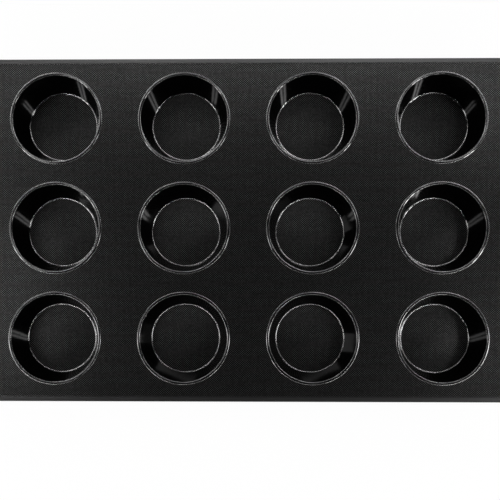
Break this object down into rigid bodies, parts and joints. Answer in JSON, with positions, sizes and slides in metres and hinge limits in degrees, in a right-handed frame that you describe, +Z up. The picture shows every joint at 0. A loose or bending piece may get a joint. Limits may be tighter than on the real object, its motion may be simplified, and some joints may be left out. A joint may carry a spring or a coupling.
{
  "type": "baking mould",
  "caption": "Flexible rectangular baking mould: a black silicone-coated cloth sheet carrying a grid of round, tapered cups, each with a glossy raised lip and a cloth floor.",
  "frame": {"origin": "middle of the footprint, level with the undersides of the cup floors", "axes": "+X along the long side, to the right in the picture; +Y to the back, the picture's top; +Z up, out of the cups"},
  "size_m": [0.6, 0.4, 0.032],
  "materials": {
    "coated_cloth": "woven, satin",
    "moulded_silicone": "gloss",
    "hem_silicone": "satin"
  },
  "bodies": {
    "root": {"base_sheet": "coated_cloth", "edge_hem": "hem_silicone", "cup_wall_r1c1": "moulded_silicone", "cup_floor_r1c1": "coated_cloth", "cup_wall_r1c2": "moulded_silicone", "cup_floor_r1c2": "coated_cloth", "cup_wall_r1c3": "moulded_silicone", "cup_floor_r1c3": "coated_cloth", "cup_wall_r1c4": "moulded_silicone", "cup_floor_r1c4": "coated_cloth", "cup_wall_r2c1": "moulded_silicone", "cup_floor_r2c1": "coated_cloth", "cup_wall_r2c2": "moulded_silicone", "cup_floor_r2c2": "coated_cloth", "cup_wall_r2c3": "moulded_silicone", "cup_floor_r2c3": "coated_cloth", "cup_wall_r2c4": "moulded_silicone", "cup_floor_r2c4": "coated_cloth", "cup_wall_r3c1": "moulded_silicone", "cup_floor_r3c1": "coated_cloth", "cup_wall_r3c2": "moulded_silicone", "cup_floor_r3c2": "coated_cloth", "cup_wall_r3c3": "moulded_silicone", "cup_floor_r3c3": "coated_cloth", "cup_wall_r3c4": "moulded_silicone", "cup_floor_r3c4": "coated_cloth"}
  },
  "joints": []
}
